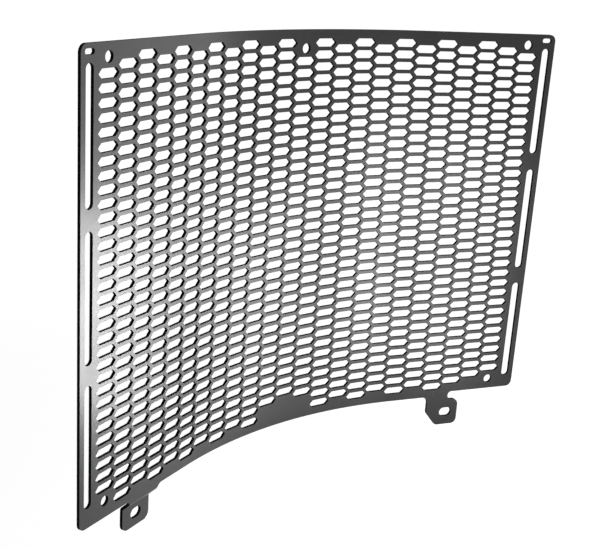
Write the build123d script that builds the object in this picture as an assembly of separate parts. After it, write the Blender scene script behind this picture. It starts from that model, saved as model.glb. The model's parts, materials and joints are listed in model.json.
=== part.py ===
from build123d import *
from math import cos, floor, radians, sin, sqrt, tan
import os

# Motorcycle radiator guard: one laser-cut sheet, rolled to follow a curved radiator, with a hexagon
# grille and two fixing tabs below it. Millimetres. +Z up, the hollow front faces -Y, and the origin is
# the middle of the top centre hole. On the sheet, u runs to the right along the rolled face and v runs
# up from the sheet's mid-height.

# Sheet
sheet_thickness = 2.0
sheet_width = 383.8          # along the rolled face, edge to edge
sheet_height = 264.2
corner_radius = 4.5
roll_radius = 273.4          # to mid-thickness
end_angle = 19.3             # turn of each straight end, degrees

# Hexagon grille
hex_height = 5.4
hex_flat = 11.0              # length of a hexagon's level sides
web = 2.0                    # metal left between two hexagons
side_band = 12.0             # least plain width outside the outer columns
edge_band = 4.0              # least plain height between a hexagon and the edge
patch_width = 44.0           # plain patch at the bottom middle
patch_height = 17.4

# Round fixing holes
fixing_diameter = 6.5
fixing_web = 1.5             # least metal between a fixing hole and a hexagon
upper_fixing_inset = 7.4     # below the top edge, both upper corners
centre_fixing_inset = 11.5   # below the top edge, top centre
lower_fixing_inset = 10.5    # above the bottom edge, both lower corners

# Slots along the two sides
slot_inset = 6.6             # slot centre line to the side edge
side_slot_width = 6.0
side_slot_count = 3
side_slot_bridge = 11.3      # metal between two slots of a side
side_slot_top = 9.4          # top edge to the first slot
side_slot_bottom = 11.9      # bottom edge to the last slot
corner_slot_length = 7.3
corner_slot_width = 3.3
corner_slot_inset = 4.1      # below the top edge

# Both tabs
tab_hole_length = 9.8
tab_hole_width = 7.0
tab_root_radius = 4.5

# Right tab, flat with the sheet, with an ear outside its neck
right_hole_u = 137.4
right_hole_drop = 13.2       # below the bottom edge
right_tab_margin = 10.0      # hole centre to the ear's top, outer side and bottom
right_neck_width = 16.8
right_neck_overlap = 0.9     # the neck's outer side beyond the hole centre
right_edge_step = 2.9        # the bottom edge outside the tab is this much higher
right_notch_radius = 2.8
right_ear_radius = 5.0
right_chamfer_width = 8.4
right_chamfer_height = 10.6
right_tab_radius = 4.0

# Left tab, set back by a double bend
left_hole_u = 134.9
left_hole_drop = 15.2
left_tab_margin = 8.7        # hole centre to the tab's bottom
left_tab_width = 24.8
left_tab_radius = 5.0
joggle_depth = 6.0
joggle_angle = 45.0
joggle_start = 1.4           # first bend below the bottom edge
bend_radius = 1.0            # inside the bends

# Worked out from the sizes above
half_width = sheet_width / 2
top_edge = sheet_height / 2
bottom_edge = -sheet_height / 2
arc_half = roll_radius * radians(end_angle)
hex_width = hex_flat + hex_height
row_pitch = hex_height + web
column_pitch = hex_width - row_pitch / 2 + sqrt(2) * web
side_columns = floor((half_width - side_band - hex_width / 2) / column_pitch)
row_count = floor((sheet_height - 2 * edge_band - hex_height - row_pitch / 2) / row_pitch) + 1
corner_fixing_u = side_columns * column_pitch
slot_u = half_width - slot_inset
cut_depth = 4 * sheet_thickness


def sheet_plane(u):
    # touches the sheet at u: x along the sheet to the right, y up, z out of the front face
    turn = max(-arc_half, min(arc_half, u)) / roll_radius
    past = u - turn * roll_radius
    x = roll_radius * sin(turn) + past * cos(turn)
    y = roll_radius * (cos(turn) - 1) - past * sin(turn)
    return Plane((x, y, 0), x_dir=(cos(turn), -sin(turn), 0), z_dir=(-sin(turn), -cos(turn), 0))


def on_sheet(u, v, shape):
    return sheet_plane(u).location * Pos(0, v, 0) * shape


def rounded_face(corners):
    # closed outline from (u, v, radius) corners
    face = make_face(Polyline([(u, v) for u, v, radius in corners], close=True))
    for u, v, radius in corners:
        if radius > 0:
            face = fillet(face.vertices().sort_by_distance((u, v, 0))[0], radius)
    return face


def wing_plate(side, corners):
    # flat plate of one straight end; its outline is given in u and v
    plane = sheet_plane(side * arc_half)
    return extrude(plane * Pos(-side * arc_half, 0) * rounded_face(corners), sheet_thickness / 2, both=True)


def rolled_middle():
    centre = (0, -roll_radius)
    inner = CenterArc(centre, roll_radius - sheet_thickness / 2, 90 - end_angle, 2 * end_angle)
    outer = CenterArc(centre, roll_radius + sheet_thickness / 2, 90 - end_angle, 2 * end_angle)
    ends = [Line(inner @ 0, outer @ 0), Line(inner @ 1, outer @ 1)]
    return extrude(make_face([inner, outer] + ends), top_edge, both=True)


def right_wing():
    hole_v = bottom_edge - right_hole_drop
    notch_end = right_hole_u + right_neck_overlap
    inner_side = notch_end - right_neck_width
    ear_side = right_hole_u + right_tab_margin
    ear_top = hole_v + right_tab_margin
    tab_bottom = hole_v - right_tab_margin
    return wing_plate(1, [
        (arc_half, top_edge, 0),
        (half_width, top_edge, corner_radius),
        (half_width, bottom_edge + right_edge_step, corner_radius),
        (notch_end, bottom_edge + right_edge_step, right_notch_radius),
        (notch_end, ear_top, right_notch_radius),
        (ear_side, ear_top, right_ear_radius),
        (ear_side, tab_bottom, right_tab_radius),
        (inner_side + right_chamfer_width, tab_bottom, right_tab_radius),
        (inner_side, tab_bottom + right_chamfer_height, right_tab_radius),
        (inner_side, bottom_edge, tab_root_radius),
        (arc_half, bottom_edge, 0),
    ])


def left_wing():
    return wing_plate(-1, [
        (-arc_half, top_edge, 0),
        (-half_width, top_edge, corner_radius),
        (-half_width, bottom_edge, corner_radius),
        (-arc_half, bottom_edge, 0),
    ])


def left_tab():
    plane = sheet_plane(-left_hole_u)
    tab_bottom = bottom_edge - left_hole_drop - left_tab_margin
    half_tab = left_tab_width / 2
    shoulder = half_tab + tab_root_radius + sheet_thickness
    outline = rounded_face([
        (-shoulder, bottom_edge + sheet_thickness, 0),
        (-shoulder, bottom_edge, 0),
        (-half_tab, bottom_edge, tab_root_radius),
        (-half_tab, tab_bottom, left_tab_radius),
        (half_tab, tab_bottom, left_tab_radius),
        (half_tab, bottom_edge, tab_root_radius),
        (shoulder, bottom_edge, 0),
        (shoulder, bottom_edge + sheet_thickness, 0),
    ])
    mid_radius = bend_radius + sheet_thickness / 2
    first_bend = bottom_edge - joggle_start - mid_radius * tan(radians(joggle_angle / 2))
    second_bend = first_bend - joggle_depth / tan(radians(joggle_angle))
    centre_line = FilletPolyline(
        (0, bottom_edge + sheet_thickness),
        (0, first_bend),
        (-joggle_depth, second_bend),
        (-joggle_depth, tab_bottom),
        radius=mid_radius,
    )
    across = Plane(plane.origin, x_dir=plane.z_dir, z_dir=-plane.x_dir)
    strip = extrude(across * trace(centre_line, sheet_thickness), shoulder, both=True)
    return strip & extrude(plane * outline, 2 * joggle_depth, both=True)


def hexagon_allowed(u, v, fixings):
    # False where a fixing hole, the plain patch or the raised edge takes the hexagon's place
    for fixing_u, fixing_v in fixings:
        across = abs(u - fixing_u) < hex_flat / 2 + fixing_diameter / 2
        if across and abs(v - fixing_v) < (hex_height + fixing_diameter) / 2 + fixing_web:
            return False
    if abs(u) < patch_width / 2 and v < bottom_edge + patch_height:
        return False
    over_step = u + hex_flat / 2 > right_hole_u + right_neck_overlap
    lowest = bottom_edge + (right_edge_step if over_step else 0)
    return v - hex_height / 2 - edge_band > lowest


def grille(fixings):
    corners = [
        (hex_width / 2, 0),
        (hex_flat / 2, hex_height / 2),
        (-hex_flat / 2, hex_height / 2),
        (-hex_width / 2, 0),
        (-hex_flat / 2, -hex_height / 2),
        (hex_flat / 2, -hex_height / 2),
    ]
    prism = extrude(make_face(Polyline(corners, close=True)), cut_depth / 2, both=True)
    holes = []
    for column in range(-side_columns, side_columns + 1):
        u = column * column_pitch
        in_step = (column + side_columns) % 2 == 0
        middle = row_pitch / 4 if in_step else -row_pitch / 4
        for row in range(row_count):
            v = middle + (row - (row_count - 1) / 2) * row_pitch
            if hexagon_allowed(u, v, fixings):
                holes.append(on_sheet(u, v, prism))
    return holes


def slot_cutter(length, width):
    return extrude(SlotOverall(length, width), cut_depth / 2, both=True)


def side_slots():
    room = sheet_height - side_slot_top - side_slot_bottom - (side_slot_count - 1) * side_slot_bridge
    length = room / side_slot_count
    upright = Rot(0, 0, 90) * slot_cutter(length, side_slot_width)
    level = slot_cutter(corner_slot_length, corner_slot_width)
    cuts = []
    for u in (-slot_u, slot_u):
        cuts.append(on_sheet(u, top_edge - corner_slot_inset, level))
        for step in range(side_slot_count):
            v = top_edge - side_slot_top - length / 2 - step * (length + side_slot_bridge)
            cuts.append(on_sheet(u, v, upright))
    return cuts


def tab_holes():
    depth = 2 * joggle_depth + cut_depth
    oblong = extrude(SlotOverall(tab_hole_length, tab_hole_width), depth / 2, both=True)
    return [
        on_sheet(right_hole_u, bottom_edge - right_hole_drop, oblong),
        on_sheet(-left_hole_u, bottom_edge - left_hole_drop, oblong),
    ]


def guard():
    fixings = [(0, top_edge - centre_fixing_inset)]
    for u in (-corner_fixing_u, corner_fixing_u):
        fixings.append((u, top_edge - upper_fixing_inset))
        fixings.append((u, bottom_edge + lower_fixing_inset))
    drill = Cylinder(fixing_diameter / 2, cut_depth)
    sheet = rolled_middle() + right_wing() + left_wing() + left_tab()
    cuts = [on_sheet(u, v, drill) for u, v in fixings]
    cuts += side_slots() + tab_holes() + grille(fixings)
    return Pos(0, 0, centre_fixing_inset - top_edge) * (sheet - cuts)


os.makedirs("parts", exist_ok=True)
part = guard()
part.label = "radiator_guard"
export_step(part, "parts/radiator_guard.step")
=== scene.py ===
import json
import math
import bpy
from mathutils import Matrix, Vector
from mathutils.geometry import delaunay_2d_cdt


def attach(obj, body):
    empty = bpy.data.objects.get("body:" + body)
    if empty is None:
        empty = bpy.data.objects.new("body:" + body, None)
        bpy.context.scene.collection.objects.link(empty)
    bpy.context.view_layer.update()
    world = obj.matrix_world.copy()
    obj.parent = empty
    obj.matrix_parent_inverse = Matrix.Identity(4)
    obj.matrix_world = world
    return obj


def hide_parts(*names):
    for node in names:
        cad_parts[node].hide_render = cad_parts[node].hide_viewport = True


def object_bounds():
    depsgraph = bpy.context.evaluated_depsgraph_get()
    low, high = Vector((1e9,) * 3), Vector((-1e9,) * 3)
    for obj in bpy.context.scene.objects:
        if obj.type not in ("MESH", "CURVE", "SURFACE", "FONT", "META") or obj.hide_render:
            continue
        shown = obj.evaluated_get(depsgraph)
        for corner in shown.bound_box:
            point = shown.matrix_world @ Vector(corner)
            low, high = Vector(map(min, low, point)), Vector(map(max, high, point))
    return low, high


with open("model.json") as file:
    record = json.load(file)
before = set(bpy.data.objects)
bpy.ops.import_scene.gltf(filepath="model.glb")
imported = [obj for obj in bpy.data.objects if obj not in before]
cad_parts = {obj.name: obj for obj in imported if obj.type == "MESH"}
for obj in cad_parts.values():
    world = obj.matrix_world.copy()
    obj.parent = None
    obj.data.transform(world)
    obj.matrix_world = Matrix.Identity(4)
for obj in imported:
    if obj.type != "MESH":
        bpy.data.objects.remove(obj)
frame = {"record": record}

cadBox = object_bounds()
guardNode = frame["record"]["subparts"][0]["node"]
mm = 0.001
print("frame loaded, guard node:", guardNode)

# On the sheet, u runs to the right along the rolled face and v runs up from mid-height.
# Below the left tab's first bend, v goes on along the metal, so the whole sheet is one flat pattern.

sheet = {  # millimetres
    "thickness": 2.0,
    "width": 383.8,
    "height": 264.2,
    "cornerRadius": 4.5,
    "rollRadius": 273.4,  # to mid-thickness
    "endAngle": 19.3,  # turn of each straight end, degrees
    "centreHoleInset": 11.5,  # top edge to the top centre hole, which is the origin
    "edgeRound": 0.06,  # coated edges are a little soft
    "coatBuild": 0.12,  # the coat makes every hole this much smaller all round
    "outlineStep": 7.0,  # longest straight stretch of outline
    "tabStep": 0.8,  # the same on the bent tab
    "arcStep": 12.0,  # degrees
}
halfWidth = sheet["width"] / 2
topEdge = sheet["height"] / 2
bottomEdge = -sheet["height"] / 2
arcHalf = sheet["rollRadius"] * math.radians(sheet["endAngle"])
originHeight = topEdge - sheet["centreHoleInset"]

leftTab = {  # set back by a double bend
    "holeU": -134.9,
    "holeDrop": 15.2,  # below the bottom edge, seen from the front
    "margin": 8.7,  # hole centre to the tab's bottom
    "width": 24.8,
    "cornerRadius": 5.0,
    "rootRadius": 4.5,
    "joggleDepth": 6.0,
    "joggleAngle": 45.0,
    "joggleStart": 1.4,  # first bend below the bottom edge
    "bendRadius": 1.0,
    "latticeStep": 3.0,  # between mesh points across the bends
    "bendRows": 5,  # mesh rows along each bend
}
foldRadius = leftTab["bendRadius"] + sheet["thickness"] / 2
foldAngle = math.radians(leftTab["joggleAngle"])
foldArc = foldRadius * foldAngle
foldSlope = leftTab["joggleDepth"] / math.sin(foldAngle) - 2 * foldRadius * math.tan(foldAngle / 2)
foldTop = bottomEdge - leftTab["joggleStart"]
foldLength = 2 * foldArc + foldSlope  # along the metal
foldHeight = 2 * foldRadius * math.sin(foldAngle) + foldSlope * math.cos(foldAngle)
foldExtra = foldLength - foldHeight

rightTab = {  # flat with the sheet, with an ear outside its neck
    "holeU": 137.4,
    "holeDrop": 13.2,
    "margin": 10.0,  # hole centre to the ear's top, outer side and bottom
    "neckWidth": 16.8,
    "neckOverlap": 0.9,  # the neck's outer side beyond the hole centre
    "edgeStep": 2.9,  # the bottom edge outside the tab is this much higher
    "notchRadius": 2.8,
    "earRadius": 5.0,
    "chamferWidth": 8.4,
    "chamferHeight": 10.6,
    "cornerRadius": 4.0,
    "rootRadius": 4.5,
}
rightBottom = bottomEdge - rightTab["holeDrop"] - rightTab["margin"]

tabHole = {"length": 9.8, "width": 7.0}


def joggle(v):  # offset, height and tilt of the left tab at v along the metal
    run = foldTop - v
    if run < foldArc:
        tilt = run / foldRadius
        return -foldRadius * (1 - math.cos(tilt)), foldTop - foldRadius * math.sin(tilt), tilt
    if run < foldLength - foldArc:
        slope = run - foldArc
        back = foldRadius * (1 - math.cos(foldAngle)) + slope * math.sin(foldAngle)
        drop = foldRadius * math.sin(foldAngle) + slope * math.cos(foldAngle)
        return -back, foldTop - drop, foldAngle
    tilt = max(0, foldLength - run) / foldRadius
    back = leftTab["joggleDepth"] - foldRadius * (1 - math.cos(tilt))
    drop = foldHeight - foldRadius * math.sin(tilt) + max(0, run - foldLength)
    return -back, foldTop - drop, tilt


def sheetFrame(u, v):  # a point at mid-thickness, with the directions along, up and out of the front
    turn = max(-arcHalf, min(arcHalf, u)) / sheet["rollRadius"]
    past = u - turn * sheet["rollRadius"]
    along = Vector((math.cos(turn), -math.sin(turn), 0))
    out = Vector((-math.sin(turn), -math.cos(turn), 0))
    up = Vector((0, 0, 1))
    spot = sheet["rollRadius"] * Vector((math.sin(turn), math.cos(turn) - 1, 0)) + past * along
    height = v
    if u < 0 and v < foldTop:
        offset, height, tilt = joggle(v)
        spot += offset * out
        out, up = math.cos(tilt) * out - math.sin(tilt) * up, math.cos(tilt) * up + math.sin(tilt) * out
    spot.z = height - originHeight
    return spot, along, up, out


# A loop is a list of (point, normal) pairs with metal on its left, and normals point into the air.

def straightPoints(end, start, normal):  # between two points of the outline, without them
    middle = (start + end) / 2
    step = sheet["tabStep"] if middle.x < 0 and middle.y < bottomEdge else sheet["outlineStep"]
    pieces = math.ceil((start - end).length / step)
    return [(end.lerp(start, j / pieces), normal) for j in range(1, pieces)]


def roundedLoop(corners, arcStep, split=False):
    count = len(corners)
    loop = []
    for k in range(count):
        before, here, after = (Vector(corners[(k + d) % count][:2]) for d in (-1, 0, 1))
        radius = corners[k][2]
        arrive, leave = (here - before).normalized(), (after - here).normalized()
        bend = math.atan2(arrive.x * leave.y - arrive.y * leave.x, arrive.dot(leave))
        side = 1 if bend > 0 else -1  # 1 where the metal's corner stands out
        first = Vector((arrive.y, -arrive.x))
        start = here - arrive * radius * math.tan(abs(bend) / 2)
        if split and loop:
            loop += straightPoints(loop[-1][0], start, first)
        centre = start - first * radius * side
        steps = max(1, math.ceil(math.degrees(abs(bend)) / arcStep))
        for j in range(steps + 1):
            normal = Matrix.Rotation(bend * j / steps, 2) @ first
            loop.append((centre + normal * radius * side, normal))
    if split:
        loop += straightPoints(loop[-1][0], *loop[0])
    return loop


def outlineLoop():
    leftBottom = bottomEdge - leftTab["holeDrop"] - leftTab["margin"] - foldExtra
    leftSide = leftTab["holeU"] - leftTab["width"] / 2
    leftInner = leftTab["holeU"] + leftTab["width"] / 2
    notchEnd = rightTab["holeU"] + rightTab["neckOverlap"]
    rightInner = notchEnd - rightTab["neckWidth"]
    earSide = rightTab["holeU"] + rightTab["margin"]
    earTop = rightBottom + 2 * rightTab["margin"]
    raised = bottomEdge + rightTab["edgeStep"]
    return roundedLoop([
        (-halfWidth, topEdge, sheet["cornerRadius"]),
        (-halfWidth, bottomEdge, sheet["cornerRadius"]),
        (leftSide, bottomEdge, leftTab["rootRadius"]),
        (leftSide, leftBottom, leftTab["cornerRadius"]),
        (leftInner, leftBottom, leftTab["cornerRadius"]),
        (leftInner, bottomEdge, leftTab["rootRadius"]),
        (rightInner, bottomEdge, rightTab["rootRadius"]),
        (rightInner, rightBottom + rightTab["chamferHeight"], rightTab["cornerRadius"]),
        (rightInner + rightTab["chamferWidth"], rightBottom, rightTab["cornerRadius"]),
        (earSide, rightBottom, rightTab["cornerRadius"]),
        (earSide, earTop, rightTab["earRadius"]),
        (notchEnd, earTop, rightTab["notchRadius"]),
        (notchEnd, raised, rightTab["notchRadius"]),
        (halfWidth, raised, sheet["cornerRadius"]),
        (halfWidth, topEdge, sheet["cornerRadius"]),
    ], sheet["arcStep"], split=True)


fixings = {
    "diameter": 6.5,
    "web": 1.5,  # least metal between a round hole and a hexagon
    "upperInset": 7.4,
    "lowerInset": 10.5,
    "points": 36,
}

grille = {
    "hexHeight": 5.4,
    "hexFlat": 11.0,  # length of a hexagon's level sides
    "web": 2.0,
    "cornerRadius": 0.45,  # left by the cutting beam
    "arcStep": 60.0,  # degrees, so one or two mesh edges round a corner
    "sideBand": 12.0,
    "edgeBand": 4.0,
    "patchWidth": 44.0,  # plain patch at the bottom middle
    "patchHeight": 17.4,
    "patchStep": 6.0,  # between mesh points on the patch, to follow the roll
    "patchShift": 0.25,  # of a step, by which their rows sit lower
}
hexWidth = grille["hexFlat"] + grille["hexHeight"]
rowPitch = grille["hexHeight"] + grille["web"]
columnPitch = hexWidth - rowPitch / 2 + math.sqrt(2) * grille["web"]
sideColumns = math.floor((halfWidth - grille["sideBand"] - hexWidth / 2) / columnPitch)
rowRoom = sheet["height"] - 2 * grille["edgeBand"] - grille["hexHeight"] - rowPitch / 2
rowCount = math.floor(rowRoom / rowPitch) + 1


def fixingPlaces():
    cornerU = sideColumns * columnPitch
    places = [(0, originHeight)]
    for u in (-cornerU, cornerU):
        places += [(u, topEdge - fixings["upperInset"]), (u, bottomEdge + fixings["lowerInset"])]
    return places


def roundLoop(u, v):
    loop = []
    for k in range(fixings["points"]):
        turn = -2 * math.pi * k / fixings["points"]  # clockwise, so the metal is on the left
        away = Vector((math.cos(turn), math.sin(turn)))
        loop.append((Vector((u, v)) + away * fixings["diameter"] / 2, -away))
    return loop


def hexagonFits(u, v):
    for placeU, placeV in fixingPlaces():
        beside = abs(u - placeU) < grille["hexFlat"] / 2 + fixings["diameter"] / 2
        reach = (grille["hexHeight"] + fixings["diameter"]) / 2 + fixings["web"]
        if beside and abs(v - placeV) < reach:
            return False
    if abs(u) < grille["patchWidth"] / 2 and v < bottomEdge + grille["patchHeight"]:
        return False
    overStep = u + grille["hexFlat"] / 2 > rightTab["holeU"] + rightTab["neckOverlap"]
    lowest = bottomEdge + (rightTab["edgeStep"] if overStep else 0)
    return v - grille["hexHeight"] / 2 - grille["edgeBand"] > lowest


def hexagonLoops():
    halfFlat, halfHeight, radius = grille["hexFlat"] / 2, grille["hexHeight"] / 2, grille["cornerRadius"]
    shape = [(-hexWidth / 2, 0), (-halfFlat, halfHeight), (halfFlat, halfHeight)]
    shape += [(-du, -dv) for du, dv in shape]  # clockwise
    loops = []
    for column in range(-sideColumns, sideColumns + 1):
        u = column * columnPitch
        middle = rowPitch / 4 if (column + sideColumns) % 2 == 0 else -rowPitch / 4
        for row in range(rowCount):
            v = middle + (row - (rowCount - 1) / 2) * rowPitch
            if hexagonFits(u, v):
                corners = [(u + du, v + dv, radius) for du, dv in shape]
                loops.append(roundedLoop(corners, grille["arcStep"]))
    return loops


slots = {
    "inset": 6.6,  # slot centre line to the side edge
    "width": 6.0,
    "count": 3,
    "bridge": 11.3,
    "top": 9.4,  # top edge to the first slot
    "bottom": 11.9,
    "cornerLength": 7.3,
    "cornerWidth": 3.3,
    "cornerInset": 4.1,
    "endShare": 0.9999,  # of a full round end, so that its two corners stay apart
}


def slotLoop(u, v, across, tall):
    radius = min(across, tall) / 2 * slots["endShare"]
    halfU, halfV = across / 2, tall / 2
    corners = [(-halfU, halfV), (halfU, halfV), (halfU, -halfV), (-halfU, -halfV)]
    return roundedLoop([(u + du, v + dv, radius) for du, dv in corners], sheet["arcStep"])


def slotLoops():
    room = sheet["height"] - slots["top"] - slots["bottom"] - (slots["count"] - 1) * slots["bridge"]
    length = room / slots["count"]
    loops = []
    for u in (slots["inset"] - halfWidth, halfWidth - slots["inset"]):
        cornerV = topEdge - slots["cornerInset"]
        loops.append(slotLoop(u, cornerV, slots["cornerLength"], slots["cornerWidth"]))
        for k in range(slots["count"]):
            v = topEdge - slots["top"] - length / 2 - k * (length + slots["bridge"])
            loops.append(slotLoop(u, v, slots["width"], length))
    leftHoleV = bottomEdge - leftTab["holeDrop"] - foldExtra
    loops.append(slotLoop(leftTab["holeU"], leftHoleV, tabHole["length"], tabHole["width"]))
    rightHoleV = bottomEdge - rightTab["holeDrop"]
    loops.append(slotLoop(rightTab["holeU"], rightHoleV, tabHole["length"], tabHole["width"]))
    return loops


def insideLoop(spot, loop):
    inside = False
    for k in range(len(loop)):
        a, b = loop[k - 1][0], loop[k][0]
        if (a.y > spot.y) != (b.y > spot.y):
            inside ^= spot.x < a.x + (spot.y - a.y) / (b.y - a.y) * (b.x - a.x)
    return inside


def latticePoints():  # points inside the metal, where the sheet is rolled or bent between far edges
    points = []
    step = grille["patchStep"]
    across = math.floor(grille["patchWidth"] / 2 / step)
    for row in range(1, math.floor(grille["patchHeight"] / step) + 1):
        for k in range(-across, across + 1):
            points.append(Vector((k * step, bottomEdge + (row - grille["patchShift"]) * step)))
    rows = []
    for k in range(leftTab["bendRows"] + 1):
        along = foldArc * k / leftTab["bendRows"]
        rows += [foldTop - along, foldTop - foldLength + along]
    reach = leftTab["width"] / 2 - leftTab["latticeStep"] / 2
    columns = math.floor(2 * reach / leftTab["latticeStep"])
    for v in rows:
        for k in range(columns + 1):
            points.append(Vector((leftTab["holeU"] - reach + 2 * reach * k / columns, v)))
    return points


atlas = {  # the flat pattern on the texture map, millimetres
    "span": 620.0,
    "margin": 8.0,
    "wallDrop": 0.75,  # of the thickness, for the faces inside the cuts
}


def guardMesh():
    holes = [roundLoop(u, v) for u, v in fixingPlaces()] + slotLoops() + hexagonLoops()
    build, edgeRound, half = sheet["coatBuild"], sheet["edgeRound"], sheet["thickness"] / 2
    loops = [outlineLoop()]
    loops += [[(point + build * normal, normal) for point, normal in hole] for hole in holes]
    flat, edges, owner = [], [], []
    for number, loop in enumerate(loops):
        first, count = len(flat), len(loop)
        flat += [point - edgeRound * normal for point, normal in loop]
        edges += [(first + k, first + (k + 1) % count) for k in range(count)]
        owner += [number] * count
    rimCount = len(flat)
    flat += latticePoints()
    owner += [-1] * (len(flat) - rimCount)
    closest = 1e-7  # nearer points would be joined
    found, _, triangles, sources, _, _ = delaunay_2d_cdt(flat, edges, [], 1, closest, True)
    spotOf = {source: k for k, group in enumerate(sources) for source in group}
    ownerOf = [owner[group[0]] if group else -1 for group in sources]
    faces = []
    for triangle in triangles:
        owners = {ownerOf[k] for k in triangle}
        middle = sum((found[k] for k in triangle), Vector((0, 0))) / 3
        if len(owners) > 1 or owners == {-1} or owners == {0} and insideLoop(middle, loops[0]):
            faces.append(tuple(triangle))  # the rest span one hole or lie outside

    places, normals = [], []

    def addPoint(u, v, offset, normal):
        spot, along, up, out = sheetFrame(u, v)
        places.append((spot + offset * out) * mm)
        normals.append((normal[0] * along + normal[1] * up + normal[2] * out).normalized())

    lowest = min(point.y for point in found)
    span, margin = atlas["span"], atlas["margin"]

    def mapFront(u, v):
        return (u + halfWidth + margin) / span, (v - lowest + margin) / span

    def mapBack(u, v):
        across, height = mapFront(-u, v)
        return across, height + (topEdge - lowest + 2 * margin) / span

    backFrom = len(found)
    for offset, facing in ((half, 1), (-half, -1)):
        for u, v in found:
            addPoint(u, v, offset, (0, 0, facing))
    polygons = faces + [tuple(backFrom + k for k in reversed(face)) for face in faces]
    corners = [[mapFront(*found[k]) for k in face] for face in faces]
    corners += [[mapBack(*found[k]) for k in reversed(face)] for face in faces]

    rim = 0
    walls, turned, wallCorners, turnedCorners = [], [], [], []
    for loop in loops:
        base, count = len(places), len(loop)
        for point, normal in loop:
            addPoint(point.x, point.y, half - edgeRound, (normal.x, normal.y, 0))
            addPoint(point.x, point.y, edgeRound - half, (normal.x, normal.y, 0))
        for k in range(count):
            here, after = k, (k + 1) % count
            front, frontNext = spotOf[rim + here], spotOf[rim + after]
            top, topNext = base + 2 * here, base + 2 * after
            turned.append((front, top, topNext, frontNext))
            walls.append((top, top + 1, topNext + 1, topNext))
            turned.append((top + 1, backFrom + front, backFrom + frontNext, topNext + 1))
            rows = []
            for spot, normal in (loop[here], loop[after]):
                low = spot + normal * atlas["wallDrop"] * sheet["thickness"]
                inner = spot - normal * edgeRound
                rows.append([mapFront(*inner), mapFront(*spot), mapFront(*low)])
                rows[-1] += [mapBack(*spot), mapBack(*inner)]
            turnedCorners.append([rows[0][0], rows[0][1], rows[1][1], rows[1][0]])
            wallCorners.append([rows[0][1], rows[0][2], rows[1][2], rows[1][1]])
            turnedCorners.append([rows[0][3], rows[0][4], rows[1][4], rows[1][3]])
        rim += count

    mesh = bpy.data.meshes.new("guardSheet")
    mesh.from_pydata(places, [], polygons + turned + walls)
    mesh.polygons.foreach_set("use_smooth", [True] * len(mesh.polygons))
    coatFaces = len(polygons) + len(turned)
    # the walls inside the cuts take the second material, the darker copy of the coat that paints shade
    # on them
    mesh.polygons.foreach_set("material_index", [0] * coatFaces + [1] * len(walls))
    corners += turnedCorners + wallCorners
    layer = mesh.uv_layers.new(name="OFBake")
    layer.data.foreach_set("uv", [part for group in corners for spot in group for part in spot])
    mesh.normals_split_custom_set_from_vertices(normals)
    triangleCount = sum(len(polygon.vertices) - 2 for polygon in mesh.polygons)
    print("sheet meshed:", len(loops) - 1, "holes,", triangleCount, "triangles")
    return mesh


coat = {  # satin black powder coat
    "colour": (0.013, 0.013, 0.0134),
    "paler": (0.020, 0.020, 0.0206),
    "roughness": (0.27, 0.33),
    "shine": 0.30,
    "bumpDistance": 0.00006,  # metres
    "bumpStrength": 0.3,
    "grainScale": 1400.0,  # per metre, the fine grain of the baked powder
    "peelScale": 420.0,  # the soft waves under it
    "cloudScale": 22.0,  # slow change of gloss over the sheet
    "cloudRange": (0.3, 0.7),  # of the noise, for the two values of roughness
    "grainShare": 0.6,  # of the grain in the height, beside the waves
}
cutWallShade = {  # painted shade: a darker, duller copy of the coat for the walls inside the cuts, so that they render near black as if in shade
    "colour": (0.002, 0.002, 0.002),
    "paler": (0.004, 0.004, 0.004),
    "roughness": (0.55, 0.65),
    "shine": 0.01,
}


def grainGroup():
    group = bpy.data.node_groups.new("powderGrain", "ShaderNodeTree")
    for name in ("Grain Scale", "Peel Scale", "Cloud Scale"):
        group.interface.new_socket(name, in_out="INPUT", socket_type="NodeSocketFloat")
    for name in ("Height", "Speckle", "Cloud"):
        group.interface.new_socket(name, in_out="OUTPUT", socket_type="NodeSocketFloat")
    nodes, links = group.nodes, group.links
    given, result = nodes.new("NodeGroupInput"), nodes.new("NodeGroupOutput")
    spot = nodes.new("ShaderNodeTexCoord")
    noises = {}
    for name, detail in (("Grain Scale", 2.0), ("Peel Scale", 1.0), ("Cloud Scale", 2.0)):
        noise = nodes.new("ShaderNodeTexNoise")
        noise.inputs["Detail"].default_value = detail
        links.new(spot.outputs["Object"], noise.inputs["Vector"])
        links.new(given.outputs[name], noise.inputs["Scale"])
        noises[name] = noise.outputs["Fac"]
    height = nodes.new("ShaderNodeMath")
    height.operation = "MULTIPLY_ADD"
    height.inputs[1].default_value = coat["grainShare"]
    links.new(noises["Grain Scale"], height.inputs[0])
    links.new(noises["Peel Scale"], height.inputs[2])
    links.new(height.outputs[0], result.inputs["Height"])
    links.new(noises["Grain Scale"], result.inputs["Speckle"])
    links.new(noises["Cloud Scale"], result.inputs["Cloud"])
    return group


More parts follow.
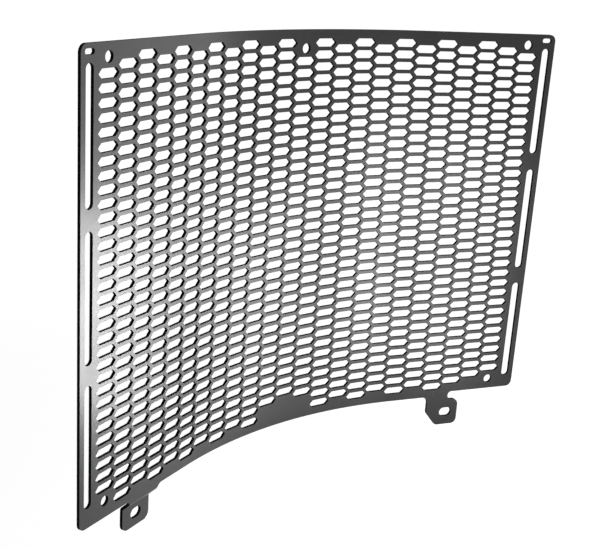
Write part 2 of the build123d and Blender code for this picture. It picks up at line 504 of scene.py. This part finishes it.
def coatMaterial(name, finish, grain):
    material = bpy.data.materials.new(name)
    material.use_nodes = True
    nodes, links = material.node_tree.nodes, material.node_tree.links
    shader = nodes["Principled BSDF"]
    shader.inputs["Specular IOR Level"].default_value = finish["shine"]
    effect = nodes.new("ShaderNodeGroup")
    effect.node_tree = grain
    effect.inputs["Grain Scale"].default_value = coat["grainScale"]
    effect.inputs["Peel Scale"].default_value = coat["peelScale"]
    effect.inputs["Cloud Scale"].default_value = coat["cloudScale"]
    tint = nodes.new("ShaderNodeMix")  # colour by the grain
    tint.data_type = "RGBA"
    tint.inputs["A"].default_value = (*finish["colour"], 1)
    tint.inputs["B"].default_value = (*finish["paler"], 1)
    links.new(effect.outputs["Speckle"], tint.inputs["Factor"])
    links.new(tint.outputs["Result"], shader.inputs["Base Color"])
    gloss = nodes.new("ShaderNodeMapRange")
    gloss.inputs["From Min"].default_value, gloss.inputs["From Max"].default_value = coat["cloudRange"]
    gloss.inputs["To Min"].default_value, gloss.inputs["To Max"].default_value = finish["roughness"]
    links.new(effect.outputs["Cloud"], gloss.inputs["Value"])
    links.new(gloss.outputs["Result"], shader.inputs["Roughness"])
    bump = nodes.new("ShaderNodeBump")
    bump.inputs["Strength"].default_value = coat["bumpStrength"]
    bump.inputs["Distance"].default_value = coat["bumpDistance"]
    links.new(effect.outputs["Height"], bump.inputs["Height"])
    links.new(bump.outputs["Normal"], shader.inputs["Normal"])
    return material


def buildGuard():
    mesh = guardMesh()
    grain = grainGroup()
    mesh.materials.append(coatMaterial("satinBlackCoat", coat, grain))
    # second slot: painted shade, the darker and duller copy of the coat for the walls inside the cuts
    mesh.materials.append(coatMaterial("cutWallPaintedShade", cutWallShade, grain))
    guard = bpy.data.objects.new("coatedGuard", mesh)
    bpy.context.collection.objects.link(guard)
    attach(guard, "root")
    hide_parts(guardNode)
    print("guard built")


floor = {
    "drop": 0.42,  # metres below the guard, which hangs from its top hole
    "size": 60.0,
    "colour": (0.86, 0.86, 0.86),
    "roughness": 0.9,
    "glow": (0.28, 0.76),  # under the guard and far away
    "fade": (0.2, 3.0),  # metres from the guard
}


def seenRays(nodes, links):  # 1 where the camera, a reflection or glass looks
    path = nodes.new("ShaderNodeLightPath")
    either = nodes.new("ShaderNodeMath")
    either.operation = "MAXIMUM"
    links.new(path.outputs["Is Camera Ray"], either.inputs[0])
    links.new(path.outputs["Is Glossy Ray"], either.inputs[1])
    seen = nodes.new("ShaderNodeMath")
    seen.operation = "MAXIMUM"
    links.new(either.outputs[0], seen.inputs[0])
    links.new(path.outputs["Is Transmission Ray"], seen.inputs[1])
    return seen.outputs[0]


def buildFloor():
    half = floor["size"] / 2
    mesh = bpy.data.meshes.new("studioFloor")
    corners = [(-half, -half, 0), (half, -half, 0), (half, half, 0), (-half, half, 0)]
    mesh.from_pydata(corners, [], [(0, 1, 2, 3)])
    material = bpy.data.materials.new("palePaper")
    material.use_nodes = True
    nodes, links = material.node_tree.nodes, material.node_tree.links
    shader = nodes["Principled BSDF"]
    shader.inputs["Base Color"].default_value = (*floor["colour"], 1)
    shader.inputs["Roughness"].default_value = floor["roughness"]
    shader.inputs["Specular IOR Level"].default_value = 0.0
    shader.inputs["Emission Color"].default_value = (1, 1, 1, 1)
    spot = nodes.new("ShaderNodeTexCoord")
    away = nodes.new("ShaderNodeVectorMath")
    away.operation = "LENGTH"
    links.new(spot.outputs["Object"], away.inputs[0])
    fade = nodes.new("ShaderNodeMapRange")
    fade.interpolation_type = "SMOOTHSTEP"
    fade.inputs["From Min"].default_value, fade.inputs["From Max"].default_value = floor["fade"]
    fade.inputs["To Min"].default_value, fade.inputs["To Max"].default_value = floor["glow"]
    links.new(away.outputs["Value"], fade.inputs["Value"])
    glow = nodes.new("ShaderNodeMath")
    glow.operation = "MULTIPLY"
    links.new(fade.outputs["Result"], glow.inputs[0])
    links.new(seenRays(nodes, links), glow.inputs[1])
    links.new(glow.outputs[0], shader.inputs["Emission Strength"])
    mesh.materials.append(material)
    plane = bpy.data.objects.new("studioFloor", mesh)
    plane.location.z = cadBox[0][2] - floor["drop"]
    bpy.context.collection.objects.link(plane)


lamps = {  # metres and watts; a narrow spread is a box behind a honeycomb grid
    "leftBox": {
        "place": (0.167, -0.188, -0.260),
        "aim": (-0.182, -0.049, -0.125),
        "size": (0.06, 0.165),
        "spread": 46.0,
        "power": 0.076,
    },
    "middleBox": {
        "place": (0.287, -0.316, -0.274),
        "aim": (-0.005, -0.001, -0.141),
        "size": (0.1, 0.22),
        "spread": 34.0,
        "power": 0.026,
    },
    "rightBox": {
        "place": (0.192, -0.425, -0.257),
        "aim": (0.068, -0.010, -0.135),
        "size": (0.1, 0.23),
        "spread": 31.0,
        "power": 0.04,
    },
    "topBox": {
        "place": (0.3, -0.6, 1.6),
        "aim": (0.0, 0.0, -0.12),
        "size": (1.2, 1.2),
        "spread": 180.0,
        "power": 36.0,
    },
    "sideBox": {
        "place": (1.472, -0.26, 0.011),
        "aim": (0.0, 0.0, -0.12),
        "size": (0.8, 0.8),
        "spread": 180.0,
        "power": 4.4,
    },
    "lowBox": {
        "place": (1.378, -0.369, -0.54),
        "aim": (0.0, 0.0, -0.12),
        "size": (0.9, 0.3),
        "spread": 180.0,
        "power": 5.0,
    },
}
room = {"grey": 0.3}


def buildLight():
    for name, lamp in lamps.items():
        data = bpy.data.lights.new(name, "AREA")
        data.shape = "RECTANGLE"
        data.size, data.size_y = lamp["size"]
        data.spread = math.radians(lamp["spread"])
        data.energy = lamp["power"]
        light = bpy.data.objects.new(name, data)
        light.location = lamp["place"]
        aim = Vector(lamp["aim"]) - Vector(lamp["place"])
        light.rotation_euler = aim.to_track_quat("-Z", "Y").to_euler()
        light.visible_camera = False  # out of the picture from every side
        bpy.context.collection.objects.link(light)
    world = bpy.data.worlds.new("studioRoom")
    world.use_nodes = True
    bpy.context.scene.world = world
    nodes, links = world.node_tree.nodes, world.node_tree.links
    shader, output = nodes["Background"], nodes["World Output"]
    shader.inputs["Color"].default_value = (room["grey"], room["grey"], room["grey"], 1)
    white = nodes.new("ShaderNodeBackground")
    white.inputs["Color"].default_value = (1, 1, 1, 1)
    mix = nodes.new("ShaderNodeMixShader")
    links.new(seenRays(nodes, links), mix.inputs["Fac"])
    links.new(shader.outputs["Background"], mix.inputs[1])
    links.new(white.outputs["Background"], mix.inputs[2])
    links.new(mix.outputs["Shader"], output.inputs["Surface"])
    bpy.context.scene.view_settings.view_transform = "Standard"


view = {
    "place": (-0.44999, -0.51762, 0.07017),  # metres
    "heading": 41.533,  # degrees to the right of straight ahead
    "pitch": -17.450,
    "roll": 3.820,
    "lens": 65.50,
    "sensor": 36.0,
}


def buildCamera():
    data = bpy.data.cameras.new("photoView")
    data.lens = view["lens"]
    data.sensor_width = view["sensor"]
    camera = bpy.data.objects.new("photoView", data)
    turn = Matrix.Rotation(math.radians(-view["heading"]), 4, "Z")
    tip = Matrix.Rotation(math.radians(90 + view["pitch"]), 4, "X")
    roll = Matrix.Rotation(math.radians(view["roll"]), 4, "Z")
    camera.matrix_world = Matrix.Translation(view["place"]) @ turn @ tip @ roll
    bpy.context.collection.objects.link(camera)
    bpy.context.scene.camera = camera


buildGuard()
buildFloor()
buildLight()
buildCamera()
print("floor, light and camera set")
